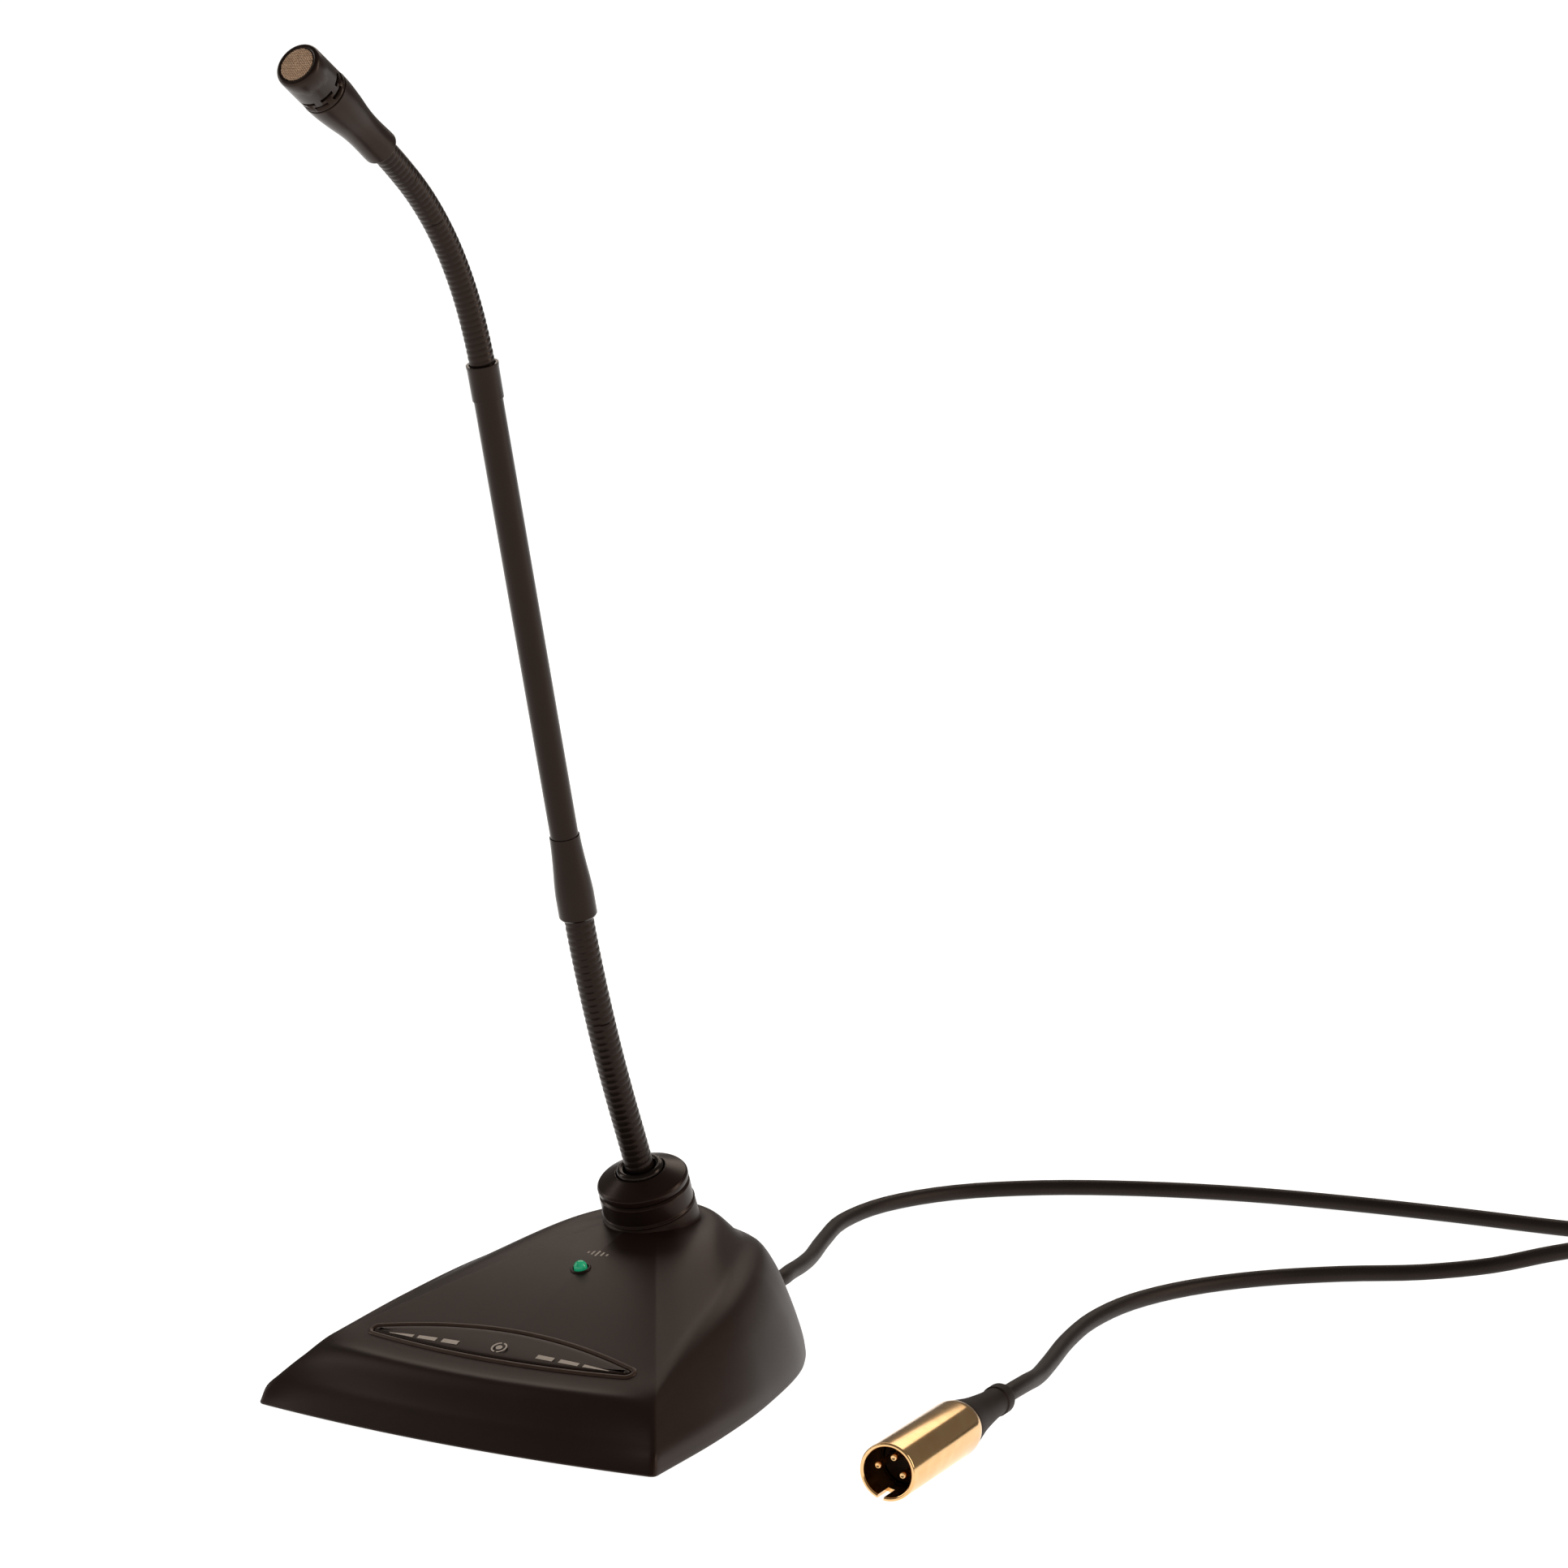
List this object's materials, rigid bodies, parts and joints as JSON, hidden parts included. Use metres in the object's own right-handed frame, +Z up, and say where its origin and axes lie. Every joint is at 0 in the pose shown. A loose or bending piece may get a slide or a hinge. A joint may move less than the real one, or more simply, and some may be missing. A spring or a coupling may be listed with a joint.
{
  "type": "gooseneck podium microphone",
  "caption": "Desk microphone: weighted wedge base, push bar, status light, tilted socket, bendable gooseneck with a rigid middle tube, slim condenser head and cable with a round metal plug.",
  "frame": {"origin": "on the desk plane in the base's centre plane, midway between the front of the head and the rear end of the base", "axes": "+Z up, -Y towards the talker, +X to the right of someone looking along +Y at the front of the base"},
  "size_m": [0.3983, 0.526, 0.4544],
  "materials": {
    "cover": "satin black-brown paint",
    "plate": "grey paint on steel",
    "board": "green solder mask",
    "switch_case": "matt",
    "switch_button": "matt",
    "bar": "fine satin",
    "light": "clear green",
    "socket": "semi-gloss black-brown",
    "rubber_part": "matt black rubber",
    "screw": "zinc plated",
    "cord": "satin black jacket",
    "plug_metal": "polished champagne plating",
    "plug_insert": "matt black",
    "tube": "semi-gloss black-brown",
    "hose": "black flexible steel hose",
    "head": "satin black-brown",
    "capsule": "plain",
    "grille": "fine woven mesh"
  },
  "bodies": {
    "base": {"base_cover": "cover", "bottom_plate": "plate", "foot_1": "rubber_part", "foot_2": "rubber_part", "foot_3": "rubber_part", "foot_4": "rubber_part", "plate_screw_1": "screw", "plate_screw_2": "screw", "plate_screw_3": "screw", "plate_screw_4": "screw", "ballast_weight": "plate", "circuit_board": "board", "board_screw_1": "screw", "board_screw_2": "screw", "mute_switch_body": "switch_case", "option_switch_body": "switch_case", "push_bar_bezel": "bar", "led_holder": "bar", "status_led": "light", "neck_socket": "socket", "socket_nut": "screw", "lock_ring": "socket", "neck_grommet": "rubber_part", "lower_hose_1": "hose", "cable_gland": "rubber_part", "cable_lead": "cord", "cable_coil": "cord", "cable_tie": "rubber_part", "cable_tail": "cord", "plug_shell": "plug_metal", "plug_insert": "plug_insert", "plug_pin_1": "plug_metal", "plug_pin_2": "plug_metal", "plug_pin_3": "plug_metal", "plug_boot": "rubber_part"},
    "push_bar": {"push_bar": "bar"},
    "switch_plunger": {"switch_plunger": "switch_button"},
    "option_slider_1": {"option_slider_1": "switch_button"},
    "option_slider_2": {"option_slider_2": "switch_button"},
    "option_slider_3": {"option_slider_3": "switch_button"},
    "lower_link_1": {"lower_hose_2": "hose"},
    "lower_link_2": {"lower_hose_3": "hose"},
    "lower_link_3": {"lower_hose_4": "hose"},
    "lower_link_4": {"lower_hose_5": "hose"},
    "stem": {"lower_hose_6": "hose", "tube_coupler": "tube", "stem_tube": "tube", "microphone_lead": "cord", "tube_sleeve": "tube", "upper_hose_1": "hose"},
    "upper_link_1": {"upper_hose_2": "hose"},
    "upper_link_2": {"upper_hose_3": "hose"},
    "upper_link_3": {"upper_hose_4": "hose"},
    "upper_link_4": {"upper_hose_5": "hose"},
    "head": {"upper_hose_6": "hose", "head_body": "head", "cartridge_housing": "head", "capsule": "capsule", "front_grille": "grille"}
  },
  "joints": [
    {"name": "lower_hose_nod_1", "type": "hinge", "parent": "base", "child": "lower_link_1", "pos_m": [0, 0.05746, 0.07794], "axis": [1, 0, 0], "range_deg": [-12, 15]},
    {"name": "lower_hose_sway_1", "type": "hinge", "parent": "lower_link_1", "child": "lower_link_2", "pos_m": [0, 0.04894, 0.09681], "axis": [0, 0.9174, 0.3979], "range_deg": [-15, 15]},
    {"name": "lower_hose_nod_2", "type": "hinge", "parent": "lower_link_2", "child": "lower_link_3", "pos_m": [0, 0.04099, 0.11592], "axis": [1, 0, 0], "range_deg": [-12, 15]},
    {"name": "lower_hose_sway_2", "type": "hinge", "parent": "lower_link_3", "child": "lower_link_4", "pos_m": [0, 0.03377, 0.13532], "axis": [0, 0.9432, 0.3322], "range_deg": [-15, 15]},
    {"name": "lower_hose_nod_3", "type": "hinge", "parent": "lower_link_4", "child": "stem", "pos_m": [0, 0.02724, 0.15496], "axis": [1, 0, 0], "range_deg": [-12, 15]},
    {"name": "upper_hose_nod_1", "type": "hinge", "parent": "stem", "child": "upper_link_1", "pos_m": [0, -0.02888, 0.35732], "axis": [1, 0, 0], "range_deg": [-20, 12]},
    {"name": "upper_hose_sway_1", "type": "hinge", "parent": "upper_link_1", "child": "upper_link_2", "pos_m": [0, -0.03631, 0.37525], "axis": [0, 0.8914, 0.4532], "range_deg": [-15, 15]},
    {"name": "upper_hose_nod_2", "type": "hinge", "parent": "upper_link_2", "child": "upper_link_3", "pos_m": [0, -0.04641, 0.39181], "axis": [1, 0, 0], "range_deg": [-20, 12]},
    {"name": "upper_hose_sway_2", "type": "hinge", "parent": "upper_link_3", "child": "upper_link_4", "pos_m": [0, -0.05927, 0.40634], "axis": [0, 0.6852, 0.7284], "range_deg": [-15, 15]},
    {"name": "upper_hose_nod_3", "type": "hinge", "parent": "upper_link_4", "child": "head", "pos_m": [0, -0.07456, 0.41828], "axis": [1, 0, 0], "range_deg": [-20, 12]},
    {"name": "push_bar_press", "type": "slide", "parent": "base", "child": "push_bar", "axis": [0, 0.3338, -0.9426], "range_m": [0, 0.0008], "stiffness_N_per_m": 400, "springref_m": -0.0006},
    {"name": "switch_plunger_press", "type": "slide", "parent": "base", "child": "switch_plunger", "axis": [0, 0, -1], "range_m": [0, 0.00048]},
    {"name": "option_slide_1", "type": "slide", "parent": "base", "child": "option_slider_1", "axis": [0, 1, 0], "range_m": [0, 0.0012]},
    {"name": "option_slide_2", "type": "slide", "parent": "base", "child": "option_slider_2", "axis": [0, 1, 0], "range_m": [0, 0.0012]},
    {"name": "option_slide_3", "type": "slide", "parent": "base", "child": "option_slider_3", "axis": [0, 1, 0], "range_m": [0, 0.0012]}
  ],
  "couplings": [
    {"joint": "lower_hose_nod_2", "follows": "lower_hose_nod_1", "ratio": 1},
    {"joint": "lower_hose_sway_2", "follows": "lower_hose_sway_1", "ratio": 1},
    {"joint": "lower_hose_nod_3", "follows": "lower_hose_nod_1", "ratio": 1},
    {"joint": "upper_hose_nod_2", "follows": "upper_hose_nod_1", "ratio": 1},
    {"joint": "upper_hose_sway_2", "follows": "upper_hose_sway_1", "ratio": 1},
    {"joint": "upper_hose_nod_3", "follows": "upper_hose_nod_1", "ratio": 1},
    {"joint": "switch_plunger_press", "follows": "push_bar_press", "ratio": 0.6}
  ]
}
